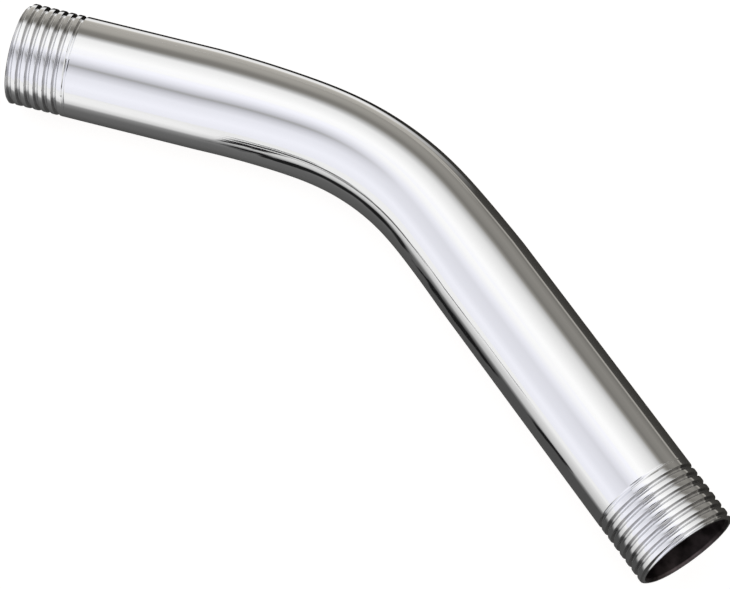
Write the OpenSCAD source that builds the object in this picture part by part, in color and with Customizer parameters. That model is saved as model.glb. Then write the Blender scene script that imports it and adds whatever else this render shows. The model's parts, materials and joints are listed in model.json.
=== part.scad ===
// Bent shower arm: one chromed brass tube with a pipe thread cut at each end.
// The arm lies on its side, as it comes to rest, with its bend in the XY plane.
// The origin is the centre of the wall end's mouth, and the first run lies along +X.

/* [Tube] */
// Outside diameter of the tube
tube_d = 20; // [18:0.5:24]
// Wall of the tube
wall = 1.2; // [1.1:0.1:1.8]
// Straight run at the wall end, from its mouth to the bend
wall_run = 38; // [25:1:120]
// Straight run at the head end, from the bend to its mouth
head_run = 65; // [25:1:160]

/* [Bend] */
// Radius of the tight middle of the bend, to the tube's axis
bend_r = 53; // [40:1:90]
// Angle turned by the tight middle of the bend
bend_deg = 31.5; // [15:0.5:60]
// Radius of the easy stretch that leads into the bend
lead_in_r = 190; // [100:5:400]
// Angle turned by the stretch that leads in
lead_in_deg = 6.5; // [2:0.5:10]
// Radius of the easy stretch that leads out of the bend
lead_out_r = 300; // [100:5:400]
// Angle turned by the stretch that leads out
lead_out_deg = 3; // [2:0.5:10]
// How much each face of the wall draws in at every step towards the middle of the bend
draw_in = 0.05; // [0.04:0.01:0.1]

/* [Threads] */
// Distance from one crest to the next, 14 to the inch
pitch = 1.814; // [1.3:0.05:2.3]
// Length of the thread at the wall end
wall_thread_l = 11; // [8:0.5:18]
// Length of the thread at the head end
head_thread_l = 12.5; // [8:0.5:18]
// Depth of the groove between two crests, which are flush with the tube
groove_depth = 0.68; // [0.4:0.01:0.7]
// Width of the groove at its floor
groove_floor = 0.3; // [0.1:0.05:0.4]
// Angle between the two flanks of the groove
flank_deg = 55; // [50:1:60]

/* [Mouths] */
// Wall left at a mouth between the inner chamfer and the floor of the groove
rim_w = 0.05; // [0.05:0.05:0.15]
// Angle of the inner chamfer to the tube's axis
mouth_deg = 40; // [20:1:60]
// Width of the chamfer that leads into the thread
lead_chamfer = 0.25; // [0.1:0.05:0.5]

/* [Hidden] */
// How far the groove's cutter reaches above the thread crests
groove_over = 0.2;
// How far each stretch of the bend laps into the thicker wall on either side of it
joint_lap = 0.3;
// Straight segments in one turn of the thread groove
turn_steps = 24;
tube_r = tube_d / 2;
bore_r = tube_r - wall;
root_r = tube_r - groove_depth;
// The groove's floor is straight between its steps, so it is deepest halfway along each one
mouth_r = root_r * cos(180 / turn_steps) - rim_w;
mouth_depth = (mouth_r - bore_r) / tan(mouth_deg);
$fn = 96;

// Places what follows at the end of a stretch that turns to the right by angle
module after_bend(radius, angle) {
    translate([radius * sin(angle), -radius * (1 - cos(angle)), 0]) rotate([0, 0, -angle]) children();
}

// Places what follows at the end of the whole bend, with +X along the head run
module at_head_run() {
    translate([wall_run, 0, 0])
        after_bend(lead_in_r, lead_in_deg)
            after_bend(bend_r, bend_deg)
                after_bend(lead_out_r, lead_out_deg) children();
}

// A length of tube that turns to the right by angle, from x = 0. Both faces of its wall
// are drawn in by thin, and it laps into the thicker wall before and after it.
module bent_tube(radius, angle, thin) {
    lap_deg = joint_lap / radius * 180 / PI;
    translate([0, -radius, 0]) rotate([0, 0, 90 - angle - lap_deg])
        rotate_extrude(angle = angle + 2 * lap_deg) translate([radius, 0]) difference() {
            circle(r = tube_r - thin);
            circle(r = bore_r + thin);
        }
}

// A straight run of tube along +X, turned with a chamfer inside and outside its mouth at x = 0
module turned_run(l) {
    rotate([0, 90, 0]) rotate_extrude() polygon([
        [bore_r, mouth_depth],
        [mouth_r, 0],
        [tube_r - lead_chamfer, 0],
        [tube_r, lead_chamfer],
        [tube_r, l],
        [bore_r, l]
    ]);
}

// The helical groove of a right-hand thread, which starts outside the mouth at x = 0
// and runs out over its last half turn, at the end of length l
module thread_groove(l) {
    reach = l + pitch;
    steps = floor(reach / pitch * turn_steps);
    half_floor = groove_floor / 2;
    top_r = tube_r + groove_over;
    half_top = half_floor + (top_r - root_r) * tan(flank_deg / 2);
    run_out = turn_steps / 2;
    full_lift = groove_depth + groove_over / 2;
    function lift(i) = max(0, i - (steps - run_out)) / run_out * full_lift;
    function on_helix(i, r, shift) = [
        -pitch + i * pitch / turn_steps + shift,
        r * cos(i * 360 / turn_steps),
        r * sin(i * 360 / turn_steps)
    ];
    points = [for (i = [0:steps]) each [
        on_helix(i, root_r + lift(i), -half_floor),
        on_helix(i, root_r + lift(i), half_floor),
        on_helix(i, top_r, half_top),
        on_helix(i, top_r, -half_top)
    ]];
    sides = [for (i = [0:steps - 1], k = [0:3]) each [
        [4 * i + k, 4 * i + 4 + k, 4 * i + (k + 1) % 4],
        [4 * i + (k + 1) % 4, 4 * i + 4 + k, 4 * i + 4 + (k + 1) % 4]
    ]];
    ends = [[0, 1, 2, 3], [for (k = [3:-1:0]) 4 * steps + k]];
    polyhedron(points = points, faces = concat(sides, ends));
}

// Turns what follows end for end, so that a mouth at x = 0 becomes the one of the head run
module at_head_mouth() {
    at_head_run() translate([head_run, 0, 0]) rotate([0, 0, 180]) children();
}

// A threaded end from its mouth at x = 0 to the end of the straight run it is cut on
module threaded_run(l, thread_l) {
    difference() {
        turned_run(l);
        thread_groove(thread_l);
    }
}

// The bend: an easy stretch, the tight middle and an easy stretch, from x = 0
module bend() {
    bent_tube(lead_in_r, lead_in_deg, draw_in);
    after_bend(lead_in_r, lead_in_deg) {
        bent_tube(bend_r, bend_deg, 2 * draw_in);
        after_bend(bend_r, bend_deg) bent_tube(lead_out_r, lead_out_deg, draw_in);
    }
}

module arm() {
    color([0.86, 0.87, 0.9]) {
        threaded_run(wall_run, wall_thread_l);
        translate([wall_run, 0, 0]) bend();
        at_head_mouth() threaded_run(head_run, head_thread_l);
    }
}

arm();
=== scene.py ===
"""Looks of a bent chrome shower arm: its tube, threads, mouths and finish, and its stage."""

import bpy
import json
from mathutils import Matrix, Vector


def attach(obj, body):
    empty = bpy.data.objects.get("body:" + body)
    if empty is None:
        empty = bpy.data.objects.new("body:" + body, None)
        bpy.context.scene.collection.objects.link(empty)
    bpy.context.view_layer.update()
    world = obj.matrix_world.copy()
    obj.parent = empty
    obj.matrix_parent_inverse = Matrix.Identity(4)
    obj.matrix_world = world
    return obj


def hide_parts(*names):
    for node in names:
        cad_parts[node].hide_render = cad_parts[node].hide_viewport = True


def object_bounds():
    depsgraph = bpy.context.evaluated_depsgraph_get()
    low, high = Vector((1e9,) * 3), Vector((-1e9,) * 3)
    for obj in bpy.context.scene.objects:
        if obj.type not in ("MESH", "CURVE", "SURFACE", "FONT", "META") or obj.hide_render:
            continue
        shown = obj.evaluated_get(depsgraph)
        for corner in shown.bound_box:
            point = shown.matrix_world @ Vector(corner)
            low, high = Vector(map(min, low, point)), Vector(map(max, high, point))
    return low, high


bl_info = {
    "name": "Chrome Shower Arm",
    "version": (1, 0, 0),
    "blender": (4, 5, 0),
    "location": "3D View > Sidebar > Shower Arm",
    "description": "Models a bent chrome shower arm with a pipe thread at each end",
    "category": "Object",
}

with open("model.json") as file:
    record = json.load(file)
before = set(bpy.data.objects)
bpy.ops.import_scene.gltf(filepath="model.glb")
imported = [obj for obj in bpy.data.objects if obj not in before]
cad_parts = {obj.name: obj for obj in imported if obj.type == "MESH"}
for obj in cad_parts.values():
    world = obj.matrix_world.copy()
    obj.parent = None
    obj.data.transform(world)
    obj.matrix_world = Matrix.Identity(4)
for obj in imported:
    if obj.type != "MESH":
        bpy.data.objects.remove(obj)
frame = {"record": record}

import json
import math

import bmesh
import bpy
from bpy.props import FloatProperty, FloatVectorProperty, IntProperty, PointerProperty
from mathutils import Vector

CAD_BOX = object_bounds()
MIDDLE = (Vector(CAD_BOX[0]) + Vector(CAD_BOX[1])) / 2
MM = 0.001
MOUNTS = {mount["name"]: mount for mount in frame["record"]["mounts"]}
WALL_THREAD = MOUNTS["wall_thread"]
HEAD_THREAD = MOUNTS["head_thread"]
WATERWAY = MOUNTS["wall_waterway"]
CHROME = frame["record"]["materials"][0]["base_color"]

# Places of the duller finishes in the arm's list of materials, after the chrome; the flanks' finish
# is also darker, as painted shade in the thread grooves
BORE_SLOT = 1
FLANK_SLOT = 2

# The power that turns a tone of the picture into light
DISPLAY_GAMMA = 2.2

# Tints of the studio's cloth and cards, as shares of red, green and blue
PLAIN = (1, 1, 1)
WARM = (1.04, 1, 0.92)
COOL = (0.985, 0.99, 1.07)
DARK = (0.01, 0.01, 0.01, 1)

# Cloth of the tent as the wall run and the head run show it. Each row is an angle round the
# tent in degrees, from level on the outer side of the bend and over the top, the tone from 0
# to 255 that the chrome shows there, and its tint.
TENT_TURN = (-90, 270)
WALL_TENT = (
    (-90, 164, WARM),
    (11, 161, WARM),
    (19, 152, WARM),
    (28, 126, WARM),
    (36, 116, WARM),
    (41, 124, WARM),
    (47, 175, PLAIN),
    (54, 233, PLAIN),
    (78, 252, PLAIN),
    (96, 245, COOL),
    (104, 228, COOL),
    (114, 192, COOL),
    (118.5, 158, PLAIN),
    (121, 178, COOL),
    (127, 203, COOL),
    (138, 230, COOL),
    (160, 241, COOL),
    (180, 233, COOL),
)
HEAD_TENT = (
    (-90, 113, WARM),
    (0, 118, WARM),
    (12, 130, WARM),
    (24, 124, WARM),
    (31, 115, WARM),
    (36, 135, WARM),
    (42, 190, PLAIN),
    (50, 218, PLAIN),
    (66, 238, PLAIN),
    (80, 253, PLAIN),
    (96, 248, PLAIN),
    (108, 235, COOL),
    (120, 219, COOL),
    (144, 226, COOL),
    (162, 240, COOL),
    (180, 234, COOL),
)

# The table as the two runs show it in their reflections, painted on a glowing card; its dark tones
# close to the arm are a painted shadow of the arm on the table. Each row is a distance from the
# arm's axis in millimetres, towards the outer side of the bend, then a tone and a tint as above.
TABLE_REACH = 200
WALL_TABLE = (
    (-200, 236, PLAIN),
    (-55, 236, PLAIN),
    (-45, 228, PLAIN),
    (-33, 205, PLAIN),
    (-28, 136, PLAIN),
    (-20, 100, PLAIN),
    (-14, 92, PLAIN),
    (-10, 78, PLAIN),
    (0, 60, PLAIN),
    (10, 30, WARM),
    (31, 30, WARM),
    (34, 228, PLAIN),
    (56, 228, PLAIN),
    (66, 190, WARM),
    (90, 170, WARM),
    (200, 164, WARM),
)
HEAD_TABLE = (
    (-200, 230, PLAIN),
    (-80, 220, PLAIN),
    (-45, 200, PLAIN),
    (-34, 185, PLAIN),
    (-29, 120, PLAIN),
    (-25, 76, PLAIN),
    (-10, 76, PLAIN),
    (0, 60, PLAIN),
    (16, 55, WARM),
    (60, 66, WARM),
    (80, 70, WARM),
    (95, 160, WARM),
    (140, 150, WARM),
    (160, 120, WARM),
    (200, 114, WARM),
)

# Cloth at the ends of the tent, by its height as a share of the tent's radius
TENT_END = (
    (0, 70, WARM),
    (0.1, 90, WARM),
    (0.16, 190, PLAIN),
    (0.5, 235, PLAIN),
    (0.75, 225, COOL),
    (1, 240, PLAIN),
)

# Painted dark reflections on the table card, which the inner side of the bend shows as dark streaks
# in place of dark things beside it that the scene leaves out. Each row is the X and Y of the
# middle, half the length and half the width in millimetres, and the tilt in degrees.
PAINTED_DARK_REFLECTIONS = (
    (55, -26, 19, 4, -8),
    (42, -40, 10, 5, 95),
    (40, -60, 12, 5, 100),
    (36, -86, 12, 5, 100),
    (85, -38, 15, 4, -42),
    (103, -62, 9, 4, -45),
)


class TubeSizes(bpy.types.PropertyGroup):
    """Sizes of the bent tube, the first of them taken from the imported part."""

    radius: FloatProperty(
        name="Tube Radius",
        description="Outside radius of the tube",
        default=WALL_THREAD["dims"]["r_mm"] * MM,
        unit="LENGTH",
    )
    bore_radius: FloatProperty(
        name="Bore Radius",
        description="Radius of the waterway",
        default=WATERWAY["dims"]["r_mm"] * MM,
        unit="LENGTH",
    )
    bend_radius: FloatProperty(
        name="Bend Radius",
        description="Radius of the tight middle of the bend, to the tube's axis",
        default=53 * MM,
        unit="LENGTH",
    )
    lead_in_radius: FloatProperty(
        name="Lead-in Radius",
        description="Radius of the easy stretch before the bend",
        default=190 * MM,
        unit="LENGTH",
    )
    lead_in_angle: FloatProperty(
        name="Lead-in Angle",
        description="Angle turned by the easy stretch before the bend",
        default=math.radians(6.5),
        subtype="ANGLE",
    )
    lead_out_radius: FloatProperty(
        name="Lead-out Radius",
        description="Radius of the easy stretch after the bend",
        default=300 * MM,
        unit="LENGTH",
    )
    lead_out_angle: FloatProperty(
        name="Lead-out Angle",
        description="Angle turned by the easy stretch after the bend",
        default=math.radians(3),
        subtype="ANGLE",
    )
    easing: FloatProperty(
        name="Easing",
        description="Length over which one stretch of the bend passes into the next",
        default=10 * MM,
        unit="LENGTH",
    )
    flattening: FloatProperty(
        name="Flattening",
        description="Share by which the bend narrows the tube, at the middle of the bend",
        default=0.058,
        subtype="FACTOR",
    )
    sides: IntProperty(
        name="Sides",
        description="Vertices round the tube",
        default=128,
    )


class ThreadSizes(bpy.types.PropertyGroup):
    """Sizes of the pipe thread at each end, and of the mouths."""

    pitch: FloatProperty(
        name="Pitch",
        description="Distance from one crest to the next",
        default=1.814 * MM,
        unit="LENGTH",
    )
    depth: FloatProperty(
        name="Depth",
        description="Depth of the groove between two crests",
        default=0.68 * MM,
        unit="LENGTH",
    )
    floor_width: FloatProperty(
        name="Floor Width",
        description="Width of the groove at its floor",
        default=0.3 * MM,
        unit="LENGTH",
    )
    flank_angle: FloatProperty(
        name="Flank Angle",
        description="Angle between the two flanks of the groove",
        default=math.radians(55),
        subtype="ANGLE",
    )
    corner: FloatProperty(
        name="Corner",
        description="How far the corners of the crests and the floor are rounded",
        default=0.1 * MM,
        unit="LENGTH",
    )
    run_out: FloatProperty(
        name="Run-out",
        description="Turns over which the groove rises out of the tube past its full length",
        default=0.5,
    )
    lead_chamfer: FloatProperty(
        name="Lead Chamfer",
        description="Width of the chamfer that leads into the thread",
        default=0.25 * MM,
        unit="LENGTH",
    )
    mouth_radius: FloatProperty(
        name="Mouth Radius",
        description="Radius to which the waterway opens at its mouths",
        default=9.2 * MM,
        unit="LENGTH",
    )
    mouth_angle: FloatProperty(
        name="Mouth Angle",
        description="Angle of the opening mouth to the tube's axis",
        default=math.radians(40),
        subtype="ANGLE",
    )


class FinishColours(bpy.types.PropertyGroup):
    """Colours and roughness of the plated and the bare metal."""

    chrome: FloatVectorProperty(
        name="Chrome",
        description="Colour of the polished chrome plate",
        default=CHROME,
        subtype="COLOR",
    )
    chrome_roughness: FloatProperty(
        name="Chrome Roughness",
        description="Roughness of the polished chrome plate",
        default=0.06,
        subtype="FACTOR",
    )
    bore: FloatVectorProperty(
        name="Bore",
        description="Colour of the dull metal inside the waterway",
        default=(0.1, 0.083, 0.085),
        subtype="COLOR",
    )
    # Darker than the chrome partly as painted shade in the thread grooves, besides the thin, dull
    # plate on the flanks
    flank: FloatVectorProperty(
        name="Thread Flanks",
        description="Colour of the cut flanks of the threads, where the plate is thin and dull",
        default=(0.58, 0.58, 0.59),
        subtype="COLOR",
    )


class StageSettings(bpy.types.PropertyGroup):
    """Camera, floor and light tent of the studio."""

    camera_place: FloatVectorProperty(
        name="Camera",
        description="Place of the camera",
        default=(0.133138, -0.22954, 0.461249),
        subtype="TRANSLATION",
    )
    camera_turn: FloatVectorProperty(
        name="Camera Turn",
        description="Rotation of the camera",
        default=(math.radians(24), 0, math.radians(15.517)),
        subtype="EULER",
    )
    lens: FloatProperty(
        name="Lens",
        description="Focal length of the camera, in millimetres",
        default=133.15,
    )
    camera_front_radius: FloatProperty(
        name="Camera Front",
        description="Radius of the dark disc round the lens that the threads reflect",
        default=0.15,
        unit="LENGTH",
    )
    floor_size: FloatProperty(
        name="Floor Size",
        description="Width of the floor",
        default=8.0,
        unit="LENGTH",
    )
    tent_radius: FloatProperty(
        name="Tent Radius",
        description="Radius of the arched light tent round the arm",
        default=1.5,
        unit="LENGTH",
    )
    tent_length: FloatProperty(
        name="Tent Length",
        description="Length of the light tent, between its ends",
        default=4.0,
        unit="LENGTH",
    )


class Wire:
    """An output of a node. Maths on wires adds Math nodes to the shader that they belong to."""

    def __init__(self, shader, socket):
        self.shader = shader
        self.socket = socket

    def maths(self, operation, *values):
        return self.shader.node("ShaderNodeMath", {"operation": operation}, dict(enumerate(values)))

    def __add__(self, other):
        return self.maths("ADD", self, other)

    def __radd__(self, other):
        return self.maths("ADD", other, self)

    def __sub__(self, other):
        return self.maths("SUBTRACT", self, other)

    def __rsub__(self, other):
        return self.maths("SUBTRACT", other, self)

    def __mul__(self, other):
        return self.maths("MULTIPLY", self, other)

    def __rmul__(self, other):
        return self.maths("MULTIPLY", other, self)

    def __truediv__(self, other):
        return self.maths("DIVIDE", self, other)


class Shader:
    """The node tree of one material or world, emptied and ready for new nodes."""

    def __init__(self, owner):
        owner.use_nodes = True
        self.tree = owner.node_tree
        self.tree.nodes.clear()

    def node(self, kind, settings=None, inputs=None, output=0):
        """Adds a node, with its settings made first and its sockets filled or linked after."""
        made = self.tree.nodes.new(kind)
        for name, value in (settings or {}).items():
            if name == "stops":
                self.set_stops(made.color_ramp, value)
            else:
                setattr(made, name, value)
        for key, value in (inputs or {}).items():
            if isinstance(value, Wire):
                self.tree.links.new(value.socket, made.inputs[key])
            else:
                made.inputs[key].default_value = value
        return Wire(self, made.outputs[output]) if made.outputs else made

    def noise(self, place, scale, detail):
        """A soft noise around 0.5 that varies over a surface."""
        inputs = {"Vector": place, "Scale": scale, "Detail": detail}
        return self.node("ShaderNodeTexNoise", inputs=inputs)

    def metal(self, colour, roughness, extra=None):
        """Ends a material in bare or plated metal."""
        inputs = {"Base Color": colour, "Metallic": 1.0, "Roughness": roughness}
        inputs.update(extra or {})
        self.surface(self.node("ShaderNodeBsdfPrincipled", inputs=inputs))

    def glow(self, colour):
        """Ends a material in plain light of a colour."""
        inputs = {"Color": colour, "Strength": 1.0}
        self.surface(self.node("ShaderNodeEmission", inputs=inputs))

    def surface(self, shown):
        self.node("ShaderNodeOutputMaterial", inputs={"Surface": shown})

    @staticmethod
    def set_stops(ramp, stops):
        """Gives a colour ramp its stops, each a place from 0 to 1 and a grey or a colour."""
        while len(ramp.elements) < len(stops):
            ramp.elements.new(1)
        for element, (place, colour) in zip(ramp.elements, stops):
            element.position = place
            rgb = colour if isinstance(colour, tuple) else (colour,) * 3
            element.color = (*rgb, 1)


def new_shader(name):
    """A new material and its empty shader."""
    material = bpy.data.materials.new(name)
    return material, Shader(material)


def chrome_material(colours):
    """Polished chrome plate: bright, faintly uneven, with a trace of haze here and there."""
    haze_spread = 0.04
    material, shader = new_shader("polished_chrome")
    place = shader.node("ShaderNodeTexCoord", output="Object")
    haze = shader.noise(place, scale=60.0, detail=3.0)
    swell = shader.noise(place, scale=45.0, detail=1.0)
    bump = shader.node(
        "ShaderNodeBump", inputs={"Strength": 0.03, "Distance": 0.5 * MM, "Height": swell}
    )
    roughness = colours.chrome_roughness + haze_spread * (haze - 0.5)
    shader.metal((*colours.chrome, 1), roughness, {"Normal": bump})
    return material


def dull_material(name, colour, dullness, spread, stain):
    """Metal with little or no plate on it. Its roughness goes from dullness up by the spread, and
    its colour is lighter and darker by the share that stain gives."""
    contrast = 4
    material, shader = new_shader(name)
    place = shader.node("ShaderNodeTexCoord", output="Object")
    grime = shader.noise(place, scale=400.0, detail=4.0)
    pale = tuple(part * (1 + stain) for part in colour)
    dark = tuple(part * (1 - stain) for part in colour)
    stained = limited(shader, (grime - 0.5) * contrast + 0.5)
    shade = mixed(shader, stained, (*dark, 1), (*pale, 1))
    shader.metal(shade, dullness + spread * grime)
    return material


def edit(piece):
    """Makes a piece the only selected one and opens it in edit mode."""
    bpy.ops.object.select_all(action="DESELECT")
    piece.select_set(True)
    bpy.context.view_layer.objects.active = piece
    bpy.ops.object.mode_set(mode="EDIT")


def stop_editing():
    bpy.ops.object.mode_set(mode="OBJECT")


def select_vertices(piece, wanted):
    """In edit mode, selects the vertices whose place passes a test, and what lies between them."""
    mesh = bmesh.from_edit_mesh(piece.data)
    for vertex in mesh.verts:
        vertex.select_set(wanted(vertex.co))
    mesh.select_flush_mode()
    bmesh.update_edit_mesh(piece.data)


def move_vertices(piece, moved):
    """In edit mode, moves every vertex to the place that a function gives for it."""
    mesh = bmesh.from_edit_mesh(piece.data)
    for vertex in mesh.verts:
        vertex.co = moved(vertex.co)
    bmesh.update_edit_mesh(piece.data)


def apply_modifier(piece, kind, **settings):
    """Gives a piece one modifier and applies it."""
    bpy.ops.object.select_all(action="DESELECT")
    piece.select_set(True)
    bpy.context.view_layer.objects.active = piece
    modifier = piece.modifiers.new(kind.title(), kind)
    for name, value in settings.items():
        setattr(modifier, name, value)
    bpy.ops.object.modifier_apply(modifier=modifier.name)


def with_radius(place, radius):
    """The place moved out or in to a radius from the X axis."""
    scale = radius / math.hypot(place.y, place.z)
    return Vector((place.x, place.y * scale, place.z * scale))


def sweep_rings(name, stations, sides):
    """A skin of rings along X. A station is a place, a radius and a share of the full width."""
    first_x, first_radius, first_width = stations[0]
    bpy.ops.object.select_all(action="DESELECT")
    bpy.ops.mesh.primitive_circle_add(
        vertices=sides, radius=first_radius, location=(first_x, 0, 0), rotation=(0, math.pi / 2, 0)
    )
    skin = bpy.context.object
    skin.name = name
    bpy.ops.object.transform_apply(location=True, rotation=True, scale=True)
    edit(skin)
    bpy.ops.mesh.select_all(action="SELECT")
    bpy.ops.transform.resize(value=(1, first_width, 1), center_override=(first_x, 0, 0))
    for before, after in zip(stations, stations[1:]):
        bpy.ops.mesh.extrude_region_move(
            TRANSFORM_OT_translate={"value": (after[0] - before[0], 0, 0)}
        )
        growth = after[1] / before[1]
        bpy.ops.transform.resize(
            value=(1, growth * after[2] / before[2], growth), center_override=(after[0], 0, 0)
        )
    stop_editing()
    return skin


class Route:
    """The arm's axis: the straight runs and the eased bend between the two mouths."""

    STEP = 0.5 * MM
    EASING_SAMPLES = 20

    def __init__(self, tube):
        wall_mouth = Vector(WALL_THREAD["pos_m"])
        head_mouth = Vector(HEAD_THREAD["pos_m"])
        self.wall_way = -Vector(WALL_THREAD["axis"])
        self.head_way = Vector(HEAD_THREAD["axis"])
        turn = self.wall_way.angle(self.head_way)
        middle_angle = turn - tube.lead_in_angle - tube.lead_out_angle
        self.easing = tube.easing
        self.stretches = [
            (tube.lead_in_radius, tube.lead_in_angle),
            (tube.bend_radius, middle_angle),
            (tube.lead_out_radius, tube.lead_out_angle),
        ]
        self.bend_length = sum(radius * angle for radius, angle in self.stretches)
        reach = self.easing / 2
        past_bend = self.bend_points(Vector((0, 0, 0)))[-1]
        across_bend = past_bend - reach * self.way(self.bend_length + reach)
        gap = head_mouth - wall_mouth - across_bend
        side = Vector((-self.head_way.y, self.head_way.x, 0))
        self.wall_run = gap.dot(side) / self.wall_way.dot(side)
        self.head_run = (gap - self.wall_run * self.wall_way).dot(self.head_way)
        self.start = wall_mouth
        self.length = self.wall_run + self.bend_length + self.head_run

    def turned(self, along):
        """Angle turned at a place along the bend, before easing."""
        angle = 0
        for radius, whole in self.stretches:
            angle += min(max(along / radius, 0), whole)
            along -= radius * whole
        return angle

    def heading(self, along):
        """Angle turned at a place along the bend, eased from one stretch to the next."""
        shifts = [k / self.EASING_SAMPLES - 0.5 for k in range(self.EASING_SAMPLES + 1)]
        return sum(self.turned(along + shift * self.easing) for shift in shifts) / len(shifts)

    def way(self, along):
        """Direction of the axis at a place along the bend."""
        angle = self.heading(along)
        return Vector((math.cos(angle), -math.sin(angle), 0))

    def bend_points(self, start):
        """Points along a bend that begins at start, with half the easing length on either side."""
        reach = self.easing / 2
        count = math.ceil((self.bend_length + 2 * reach) / self.STEP)
        step = (self.bend_length + 2 * reach) / count
        points = [start - Vector((reach, 0, 0))]
        for k in range(count):
            points.append(points[-1] + step * self.way((k + 0.5) * step - reach))
        return points

    def curve(self):
        """The axis as a curve object."""
        bend = self.bend_points(self.start + self.wall_run * self.wall_way)
        points = [self.start, *bend, Vector(HEAD_THREAD["pos_m"])]
        line = bpy.data.curves.new("axis", "CURVE")
        line.dimensions = "3D"
        line.twist_mode = "Z_UP"
        spline = line.splines.new("POLY")
        spline.points.add(len(points) - 1)
        for knot, place in zip(spline.points, points):
            knot.co = (*place, 1)
        axis = bpy.data.objects.new("axis", line)
        bpy.context.scene.collection.objects.link(axis)
        return axis

    def width(self, along, flattening):
        """Share of the tube's full width that the bend leaves at a place along the arm."""
        share = (along - self.wall_run) / self.bend_length
        return 1 - flattening * math.sin(math.pi * min(max(share, 0), 1))


def thread_profile(name, tube, thread):
    """One pitch of the thread as a line in the XY plane: half a crest, the groove, half a crest.
    Its middle is one pitch before the mouth, so that the groove starts outside the arm."""
    middle = -thread.pitch
    half_floor = thread.floor_width / 2
    half_top = half_floor + thread.depth * math.tan(thread.flank_angle / 2)
    half_crest = thread.pitch / 2 - half_top
    legs = [
        (half_crest, 0),
        (half_top - half_floor, -thread.depth),
        (thread.floor_width, 0),
        (half_top - half_floor, thread.depth),
        (half_crest, 0),
    ]
    bpy.ops.object.select_all(action="DESELECT")
    bpy.ops.mesh.primitive_plane_add(size=thread.pitch)
    profile = bpy.context.object
    profile.name = name
    edit(profile)
    bpy.ops.mesh.select_all(action="SELECT")
    bpy.ops.mesh.merge(type="CENTER")
    bpy.ops.transform.translate(value=(middle - thread.pitch / 2, tube.radius, 0))
    for along, out in legs:
        bpy.ops.mesh.extrude_region_move(TRANSFORM_OT_translate={"value": (along, out, 0)})
    within = thread.pitch / 2 - half_crest / 2
    select_vertices(profile, lambda place: abs(place.x - middle) < within)
    bpy.ops.mesh.bevel(offset=thread.corner, segments=3, affect="VERTICES")
    stop_editing()
    return profile


def thread_skin(name, length, tube, thread):
    """The outside of a threaded end, from its mouth at x = 0 to plain tube just past its thread."""
    spare_turns = 3
    full_turns = length / thread.pitch
    skin = thread_profile(name, tube, thread)
    apply_modifier(
        skin,
        "SCREW",
        axis="X",
        angle=2 * math.pi,
        screw_offset=thread.pitch,
        iterations=math.ceil(full_turns) + spare_turns,
        steps=tube.sides,
        render_steps=tube.sides,
    )
    edit(skin)
    bpy.ops.mesh.select_all(action="SELECT")
    bpy.ops.mesh.remove_doubles(threshold=thread.pitch / 1000)

    def risen(place):
        """Lifts the groove out of the tube past its full turns."""
        part_turn = math.atan2(place.z, place.y) / (2 * math.pi) % 1
        turn = round(place.x / thread.pitch - part_turn) + part_turn
        rise = max(0, turn - full_turns) / thread.run_out * thread.depth
        radius = math.hypot(place.y, place.z)
        return with_radius(place, min(tube.radius, radius + rise))

    move_vertices(skin, risen)
    cut(skin, 0, clear_inner=True)
    cut(skin, length + thread.pitch, clear_outer=True)
    cut(skin, thread.lead_chamfer)

    def chamfered(place):
        """Turns down the crests that stand out of the lead-in chamfer."""
        limit = tube.radius - max(0, thread.lead_chamfer - place.x)
        return with_radius(place, min(limit, math.hypot(place.y, place.z)))

    move_vertices(skin, chamfered)
    stop_editing()
    return skin


def cut(skin, x, clear_inner=False, clear_outer=False):
    """In edit mode, cuts a skin across at x, and clears what lies before or after the cut."""
    bpy.ops.mesh.select_all(action="SELECT")
    bpy.ops.mesh.bisect(
        plane_co=(x, 0, 0),
        plane_no=(1, 0, 0),
        clear_inner=clear_inner,
        clear_outer=clear_outer,
        threshold=MM / 10000,
    )


def open_edges(piece, low, high):
    """In edit mode, selects the open edges of a skin that lie from low to high along X."""
    bpy.ops.mesh.select_all(action="DESELECT")
    mesh = bmesh.from_edit_mesh(piece.data)
    for edge in mesh.edges:
        middle = (edge.verts[0].co.x + edge.verts[1].co.x) / 2
        if edge.is_boundary and low <= middle <= high:
            edge.select_set(True)
    bmesh.update_edit_mesh(piece.data)


def bend_stations(route, tube, radius, start, end):
    """Stations of a skin from start to end along the arm, close together in the bend."""
    spacing = 0.8 * MM
    bend_end = route.wall_run + route.bend_length
    count = math.ceil(route.bend_length / spacing)
    places = [route.wall_run + route.bend_length * k / count for k in range(count + 1)]
    places = [start, (start + route.wall_run) / 2, *places, (bend_end + end) / 2, end]
    return [(x, radius, route.width(x, tube.flattening)) for x in places]


def outer_skin(route, tube, thread):
    """The closed outside of the straight arm: both threads and the tube between them."""
    wall_l = WALL_THREAD["dims"]["length_mm"] * MM
    head_l = HEAD_THREAD["dims"]["length_mm"] * MM
    wall_end = thread_skin("wall_thread", wall_l, tube, thread)
    head_end = thread_skin("head_thread", head_l, tube, thread)
    edit(head_end)
    bpy.ops.mesh.select_all(action="SELECT")
    bpy.ops.transform.rotate(value=math.pi, orient_axis="Z", center_override=(0, 0, 0))
    bpy.ops.transform.translate(value=(route.length, 0, 0))
    stop_editing()
    seam = thread.pitch / 4
    start = wall_l + thread.pitch
    end = route.length - head_l - thread.pitch
    plain = sweep_rings(
        "arm_chrome",
        bend_stations(route, tube, tube.radius, start + seam, end - seam),
        tube.sides,
    )
    for part in (wall_end, head_end, plain):
        part.select_set(True)
    bpy.context.view_layer.objects.active = plain
    bpy.ops.object.join()
    edit(plain)
    for low, high in ((start, start + seam), (end - seam, end)):
        open_edges(plain, low - seam / 2, high + seam / 2)
        bpy.ops.mesh.bridge_edge_loops()
    for mouth in (0, route.length):
        open_edges(plain, mouth - seam / 2, mouth + seam / 2)
        bpy.ops.mesh.edge_face_add()
    bpy.ops.mesh.select_all(action="SELECT")
    bpy.ops.mesh.normals_make_consistent(inside=False)
    stop_editing()
    return plain


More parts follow.
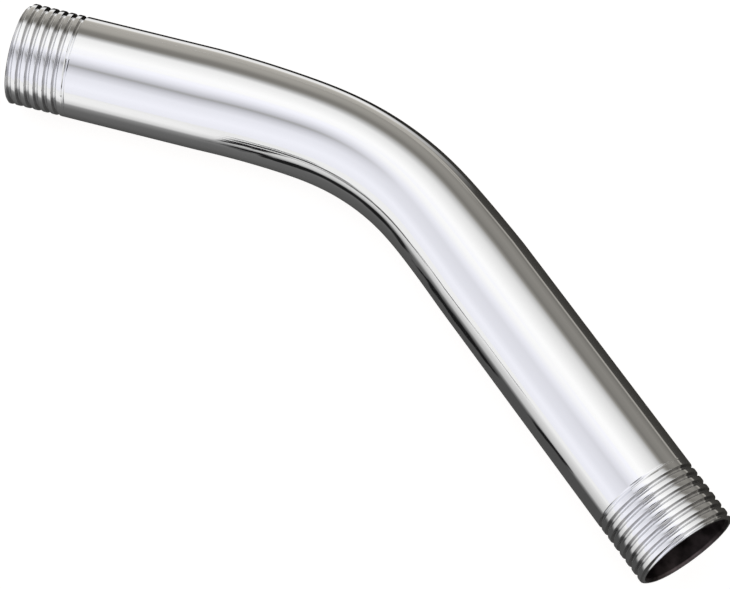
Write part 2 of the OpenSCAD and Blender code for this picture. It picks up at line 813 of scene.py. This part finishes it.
def is_flank(face, route, thread):
    """Whether a face of the straight arm is a flank of a thread groove."""
    tolerance = 0.06
    lean = math.cos(thread.flank_angle / 2)
    from_mouth = min(face.center.x, route.length - face.center.x)
    return from_mouth > thread.lead_chamfer and abs(abs(face.normal.x) - lean) < tolerance


def bore_tool(route, tube, thread):
    """The waterway as a closed solid, with a mouth that opens at each end."""
    mouth_depth = (thread.mouth_radius - tube.bore_radius) / math.tan(thread.mouth_angle)
    beyond = 1 * MM
    flare = beyond * math.tan(thread.mouth_angle)
    stations = [
        (-beyond, thread.mouth_radius + flare, 1),
        *bend_stations(route, tube, tube.bore_radius, mouth_depth, route.length - mouth_depth),
        (route.length + beyond, thread.mouth_radius + flare, 1),
    ]
    tool = sweep_rings("waterway", stations, tube.sides)
    edit(tool)
    for low in (-beyond, route.length + beyond):
        open_edges(tool, low - beyond / 2, low + beyond / 2)
        bpy.ops.mesh.edge_face_add()
    bpy.ops.mesh.select_all(action="SELECT")
    bpy.ops.mesh.normals_make_consistent(inside=False)
    stop_editing()
    return tool


class ARM_OT_build(bpy.types.Operator):
    """Models the arm straight, bores it, bends it, and gives it its finish"""

    bl_idname = "shower_arm.build"
    bl_label = "Build Arm"

    def execute(self, context):
        scene = context.scene
        tube = scene.arm_tube
        thread = scene.arm_thread
        colours = scene.arm_colours
        route = Route(tube)
        arm = outer_skin(route, tube, thread)
        tool = bore_tool(route, tube, thread)
        finishes = [
            chrome_material(colours),
            dull_material("dull_bore", colours.bore, dullness=0.3, spread=0.2, stain=0.35),
            # The flanks' darker colour paints shade into the thread grooves, on top of their duller
            # plate
            dull_material("thread_flank", colours.flank, dullness=0.05, spread=0.1, stain=0.08),
        ]
        for piece in (arm, tool):
            piece.data.materials.clear()
            for finish in finishes:
                piece.data.materials.append(finish)
        for face in tool.data.polygons:
            face.material_index = BORE_SLOT
        for face in arm.data.polygons:
            if is_flank(face, route, thread):
                face.material_index = FLANK_SLOT
        apply_modifier(arm, "BOOLEAN", operation="DIFFERENCE", solver="EXACT", object=tool)
        bpy.data.objects.remove(tool)
        axis = route.curve()
        apply_modifier(arm, "CURVE", object=axis, deform_axis="POS_X")
        bpy.data.objects.remove(axis)
        bpy.ops.object.shade_smooth_by_angle(angle=math.radians(35))
        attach(arm, "root")
        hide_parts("arm")
        return {"FINISHED"}


def set_world(scene):
    """A plain white surrounding."""
    world = bpy.data.worlds.new("studio")
    scene.world = world
    shader = Shader(world)
    white = shader.node("ShaderNodeBackground", inputs={"Color": (1, 1, 1, 1), "Strength": 1.0})
    shader.node("ShaderNodeOutputWorld", inputs={"Surface": white})


def stage_plane(name, size, z, material):
    """A level square of the stage, centred under the arm."""
    bpy.ops.object.select_all(action="DESELECT")
    bpy.ops.mesh.primitive_plane_add(size=size, location=(MIDDLE.x, MIDDLE.y, z))
    plane = bpy.context.object
    plane.name = name
    bpy.ops.object.transform_apply(location=True, rotation=True, scale=True)
    plane.data.materials.append(material)
    return plane


def set_floor(settings):
    """A white floor that glows like a light table and still takes a faint shadow."""
    material, shader = new_shader("white_floor")
    glow = shader.node("ShaderNodeEmission", inputs={"Color": (1, 0.99, 0.975, 1), "Strength": 0.9})
    matt = shader.node("ShaderNodeBsdfDiffuse", inputs={"Color": (0.2, 0.2, 0.21, 1)})
    shader.surface(shader.node("ShaderNodeAddShader", inputs={0: glow, 1: matt}))
    stage_plane("floor", settings.floor_size, CAD_BOX[0][2], material)


def stage_tone(tone, tint):
    """Light whose reflection in the chrome shows as a tone from 0 to 255, with a tint."""
    strength = (tone / 255) ** DISPLAY_GAMMA
    return tuple(strength * part / share for part, share in zip(tint, CHROME))


def tone_ramp(shader, factor, tones, low, high):
    """A ramp of tones whose places, from low to high, lie along a factor from 0 to 1."""
    stops = [
        ((place - low) / (high - low), stage_tone(tone, tint)) for place, tone, tint in tones
    ]
    return shader.node("ShaderNodeValToRGB", {"stops": stops}, {"Fac": factor})


def mixed(shader, factor, first, second):
    """The first colour where the factor is 0, the second where it is 1."""
    sockets = {0: factor, 6: first, 7: second}
    return shader.node("ShaderNodeMix", {"data_type": "RGBA"}, sockets, output=2)


def limited(shader, value):
    """The value held between 0 and 1."""
    return shader.node("ShaderNodeClamp", inputs={"Value": value})


def split_place(shader, place):
    """The X, Y and Z of a place."""
    split = shader.node("ShaderNodeSeparateXYZ", inputs={"Vector": place})
    outputs = split.socket.node.outputs
    return [Wire(shader, outputs[axis]) for axis in "XYZ"]


def hide(piece, *rays):
    """Keeps a piece of the stage out of the sight of some kinds of ray."""
    for ray in rays:
        setattr(piece, "visible_" + ray, False)


def dark_reflection_mask(shader, x, y, wobble, middle_x, middle_y, length, width, tilt):
    """A mask of one painted dark reflection on the table card, long with an uneven edge, its sizes
    in millimetres.
    """
    sharpness = 2
    cosine = math.cos(math.radians(tilt))
    sine = math.sin(math.radians(tilt))
    over = x - middle_x * MM
    up = y - middle_y * MM
    along = (over * cosine + up * sine) / (length * MM)
    across = (up * cosine - over * sine) / (width * MM)
    return limited(shader, (1 + wobble - along * along - across * across) * sharpness)


def table_tones(shader, x, y):
    """Tones of the table by the distance from the arm's axis, for the wall run and the head run."""
    corner_rounding = 10 * MM
    passing_length = 40 * MM
    head_way = Vector(HEAD_THREAD["axis"])
    head_mouth = Vector(HEAD_THREAD["pos_m"])
    outward = Vector((-head_way.y, head_way.x, 0))
    beside_head = x * outward.x + y * outward.y - head_mouth.dot(outward)
    side = y.maths("SMOOTH_MAX", y, beside_head, corner_rounding)
    corner_x = head_mouth.x - head_mouth.y / head_way.y * head_way.x
    chord = (Vector((1, 0, 0)) + head_way).normalized()
    past_corner = (x - corner_x) * chord.x + y * chord.y
    to_head = limited(shader, past_corner / passing_length + 0.5)
    factor = side / (2 * TABLE_REACH * MM) + 0.5
    wall_tones = tone_ramp(shader, factor, WALL_TABLE, -TABLE_REACH, TABLE_REACH)
    head_tones = tone_ramp(shader, factor, HEAD_TABLE, -TABLE_REACH, TABLE_REACH)
    return mixed(shader, to_head, wall_tones, head_tones)


def set_table_glow():
    """The table as the chrome shows it, painted on a glowing card: dark close to the arm, where it
    paints the arm's shadow on the table, and grey on its outer side.
    """
    card_size = 3.0
    card_lift = 0.05 * MM
    raggedness = 3
    material, shader = new_shader("table_glow")
    place = shader.node("ShaderNodeTexCoord", output="Object")
    x, y, _ = split_place(shader, place)
    tones = table_tones(shader, x, y)
    wobble = (shader.noise(place, scale=200.0, detail=4.0) - 0.5) * raggedness
    # Each mark paints a dark reflection onto the card
    for mark in PAINTED_DARK_REFLECTIONS:
        tones = mixed(shader, dark_reflection_mask(shader, x, y, wobble, *mark), tones, DARK)
    shader.glow(tones)
    card = stage_plane("table_glow", card_size, CAD_BOX[0][2] + card_lift, material)
    hide(card, "camera", "diffuse", "shadow")


def tent_cloth():
    """Cloth of the tent's arch, in bands along it that differ between the wall and the head run."""
    seam_start = -0.43
    seam_spread = 1.25
    material, shader = new_shader("tent_cloth")
    along, outward, up = split_place(shader, shader.node("ShaderNodeTexCoord", output="Object"))
    turn = up.maths("ARCTAN2", up, outward) / (2 * math.pi)
    factor = turn.maths("FRACT", turn + (1 - TENT_TURN[0] / 360))
    wall_tones = tone_ramp(shader, factor, WALL_TENT, *TENT_TURN)
    head_tones = tone_ramp(shader, factor, HEAD_TENT, *TENT_TURN)
    to_head = limited(shader, (along - seam_start) / outward * seam_spread + 0.5)
    shader.glow(mixed(shader, to_head, wall_tones, head_tones))
    return material


def tent_end_cloth(radius):
    """Cloth of the tent's two ends, grey at the foot and white above."""
    material, shader = new_shader("tent_end")
    _, _, height = split_place(shader, shader.node("ShaderNodeTexCoord", output="Object"))
    shader.glow(tone_ramp(shader, height / radius, TENT_END, 0, 1))
    return material


def set_tent(settings):
    """An arched tent along the arm, white above with grey and dark bands, seen by reflections."""
    head_way = Vector(HEAD_THREAD["axis"])
    bpy.ops.object.select_all(action="DESELECT")
    bpy.ops.mesh.primitive_cylinder_add(
        vertices=96,
        radius=settings.tent_radius,
        depth=settings.tent_length,
        end_fill_type="NGON",
        rotation=(0, math.pi / 2, 0),
    )
    tent = bpy.context.object
    tent.name = "light_tent"
    bpy.ops.object.transform_apply(location=True, rotation=True, scale=True)
    tent.location = (MIDDLE.x, MIDDLE.y, CAD_BOX[0][2])
    tent.rotation_euler = (0, 0, math.atan2(head_way.y, head_way.x) / 2)
    tent.data.materials.append(tent_cloth())
    tent.data.materials.append(tent_end_cloth(settings.tent_radius))
    for face in tent.data.polygons:
        is_end = abs(face.normal.x) > 0.5
        face.material_index = int(is_end)
    hide(tent, "camera", "shadow")


def set_camera(scene, settings):
    """The camera at the photograph's viewing angle."""
    lens = bpy.data.cameras.new("camera")
    lens.lens = settings.lens
    camera = bpy.data.objects.new("camera", lens)
    camera.location = settings.camera_place
    camera.rotation_euler = settings.camera_turn
    scene.collection.objects.link(camera)
    scene.camera = camera


def set_camera_front(settings):
    """The dark front of the camera, as the grooves of the threads throw it back."""
    material, shader = new_shader("camera_front")
    shader.glow(DARK)
    bpy.ops.object.select_all(action="DESELECT")
    bpy.ops.mesh.primitive_circle_add(
        vertices=48,
        radius=settings.camera_front_radius,
        fill_type="NGON",
        location=settings.camera_place,
        rotation=settings.camera_turn,
    )
    front = bpy.context.object
    front.name = "camera_front"
    bpy.ops.object.transform_apply(location=True, rotation=True, scale=True)
    front.data.materials.append(material)
    hide(front, "camera", "diffuse", "shadow")


class ARM_OT_stage(bpy.types.Operator):
    """Sets the floor, the light tent, the cards and the camera"""

    bl_idname = "shower_arm.stage"
    bl_label = "Set Stage"

    def execute(self, context):
        scene = context.scene
        settings = scene.arm_stage
        scene.view_settings.view_transform = "Standard"
        set_world(scene)
        set_floor(settings)
        set_table_glow()
        set_tent(settings)
        set_camera(scene, settings)
        set_camera_front(settings)
        return {"FINISHED"}


class ARM_PT_panel(bpy.types.Panel):
    """Lists the arm's sizes, colours and steps in the sidebar"""

    bl_label = "Shower Arm"
    bl_idname = "ARM_PT_panel"
    bl_space_type = "VIEW_3D"
    bl_region_type = "UI"
    bl_category = "Shower Arm"

    def draw(self, context):
        layout = self.layout
        for group in GROUPS:
            column = layout.column(align=True)
            settings = getattr(context.scene, group)
            for name in settings.bl_rna.properties.keys():
                if name not in {"rna_type", "name"}:
                    column.prop(settings, name)
        for operator in OPERATORS:
            layout.operator(operator.bl_idname)


GROUPS = {
    "arm_tube": TubeSizes,
    "arm_thread": ThreadSizes,
    "arm_colours": FinishColours,
    "arm_stage": StageSettings,
}
OPERATORS = (ARM_OT_build, ARM_OT_stage)
CLASSES = (*GROUPS.values(), *OPERATORS, ARM_PT_panel)


def register():
    for made in CLASSES:
        bpy.utils.register_class(made)
    for name, group in GROUPS.items():
        setattr(bpy.types.Scene, name, PointerProperty(type=group))


def unregister():
    for name in GROUPS:
        delattr(bpy.types.Scene, name)
    for made in reversed(CLASSES):
        bpy.utils.unregister_class(made)


def main():
    """Builds the arm and its stage."""
    register()
    bpy.ops.shower_arm.build()
    bpy.ops.shower_arm.stage()


if __name__ == "__main__":
    main()
